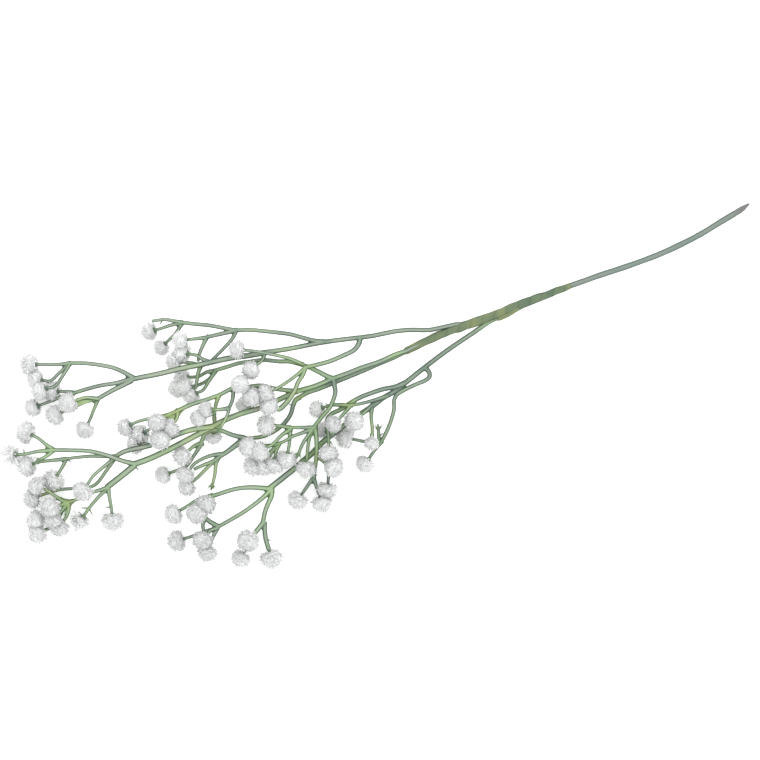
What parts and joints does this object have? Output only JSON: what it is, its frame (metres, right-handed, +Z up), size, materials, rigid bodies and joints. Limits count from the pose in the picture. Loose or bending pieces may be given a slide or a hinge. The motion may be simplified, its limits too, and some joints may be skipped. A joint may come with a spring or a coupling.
{
  "type": "artificial gypsophila stem",
  "caption": "Branching artificial gypsophila stem with soft white pom-pom heads, lying on its side, cut end to +X.",
  "frame": {"origin": "middle of the part's bounding box, on the surface that the stem lies on", "axes": "+X towards the cut end of the stem, +Z up from the surface"},
  "size_m": [0.5284, 0.1888, 0.0526],
  "materials": {
    "coated_wire": "soft satin plastic coating, blue-grey green, browner at the cut tip",
    "floral_tape": "matt crepe floral tape wound in overlapping turns",
    "moulded_green": "satin moulded plastic, grey-green with fresher green at the forks",
    "soft_white": "soft, slightly translucent white plastic petals"
  },
  "bodies": {
    "root": {"wire_stem": "coated_wire", "floral_tape": "floral_tape", "upper_spray": "moulded_green", "long_spray": "moulded_green", "curved_spray": "moulded_green", "low_spray": "moulded_green", "flower_01": "soft_white", "flower_cluster_02": "soft_white", "flower_03": "soft_white", "flower_04": "soft_white", "flower_05": "soft_white", "flower_06": "soft_white", "flower_07": "soft_white", "flower_08": "soft_white", "flower_09": "soft_white", "flower_cluster_10": "soft_white", "flower_cluster_11": "soft_white", "flower_12": "soft_white", "flower_cluster_13": "soft_white", "flower_14": "soft_white", "flower_15": "soft_white", "flower_cluster_16": "soft_white", "flower_17": "soft_white", "flower_cluster_18": "soft_white", "flower_cluster_19": "soft_white", "flower_20": "soft_white", "flower_21": "soft_white", "flower_22": "soft_white", "flower_23": "soft_white", "flower_24": "soft_white", "flower_25": "soft_white", "flower_cluster_26": "soft_white", "flower_cluster_27": "soft_white", "flower_cluster_28": "soft_white", "flower_29": "soft_white", "flower_30": "soft_white", "flower_31": "soft_white", "flower_cluster_32": "soft_white", "flower_cluster_33": "soft_white", "flower_34": "soft_white", "flower_cluster_35": "soft_white", "flower_36": "soft_white", "flower_cluster_37": "soft_white", "flower_38": "soft_white", "flower_39": "soft_white", "flower_cluster_40": "soft_white", "flower_41": "soft_white", "flower_42": "soft_white", "flower_43": "soft_white", "flower_44": "soft_white", "flower_45": "soft_white", "flower_cluster_46": "soft_white", "flower_47": "soft_white", "flower_48": "soft_white", "flower_cluster_49": "soft_white", "flower_50": "soft_white", "flower_51": "soft_white", "flower_52": "soft_white", "flower_53": "soft_white", "flower_54": "soft_white"}
  },
  "joints": []
}
